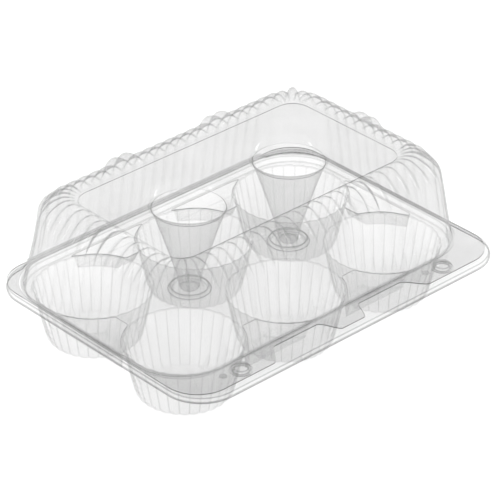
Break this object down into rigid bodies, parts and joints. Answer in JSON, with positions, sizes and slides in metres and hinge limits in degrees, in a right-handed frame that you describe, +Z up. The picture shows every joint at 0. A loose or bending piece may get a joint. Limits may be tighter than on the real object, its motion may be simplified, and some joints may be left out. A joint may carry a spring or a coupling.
{
  "type": "clear hinged cupcake container",
  "caption": "Clear formed-plastic clamshell with ribbed cups in two rows, a domed hinged lid with scalloped crown and funnel posts, and snap buttons.",
  "frame": {"origin": "centre of the closed container's footprint, on the surface that the cup floors stand on", "axes": "+X along the hinge to the right, +Y towards the hinge, +Z up"},
  "size_m": [0.237, 0.1768, 0.0929],
  "materials": {
    "tray_plastic": "clear, glossy, thermoformed PET sheet",
    "cup_plastic": "clear, glossy, fluted PET sheet",
    "lid_plastic": "clear, glossy, fluted PET sheet",
    "funnel_plastic": "clear PET sheet, drawn thinner and slightly grey"
  },
  "bodies": {
    "tray": {"cup_back_left": "cup_plastic", "cup_back_middle": "cup_plastic", "cup_back_right": "cup_plastic", "cup_front_left": "cup_plastic", "cup_front_middle": "cup_plastic", "cup_front_right": "cup_plastic", "tray_deck": "tray_plastic", "rim_step": "tray_plastic", "tray_flange": "tray_plastic", "tray_lip": "tray_plastic", "pocket_front_left": "tray_plastic", "pocket_front_right": "tray_plastic", "pocket_back_left": "tray_plastic", "pocket_back_right": "tray_plastic", "pocket_left": "tray_plastic", "pocket_right": "tray_plastic", "funnel_seat_left": "tray_plastic", "funnel_seat_right": "tray_plastic", "snap_stud_left": "tray_plastic", "snap_stud_right": "tray_plastic", "hinge_bead": "tray_plastic"},
    "lid": {"lid_flange": "lid_plastic", "lid_wall": "lid_plastic", "lid_crown": "lid_plastic", "lid_panel": "lid_plastic", "funnel_left": "funnel_plastic", "funnel_right": "funnel_plastic", "snap_cap_left": "lid_plastic", "snap_cap_right": "lid_plastic", "locating_pips": "lid_plastic", "lugs_front": "lid_plastic", "lugs_back": "lid_plastic", "lugs_left": "lid_plastic", "lugs_right": "lid_plastic"}
  },
  "joints": [
    {"name": "lid_hinge", "type": "hinge", "parent": "tray", "child": "lid", "pos_m": [0, 0.0875, 0.0359], "axis": [-1, 0, 0], "range_deg": [0, 140]}
  ]
}
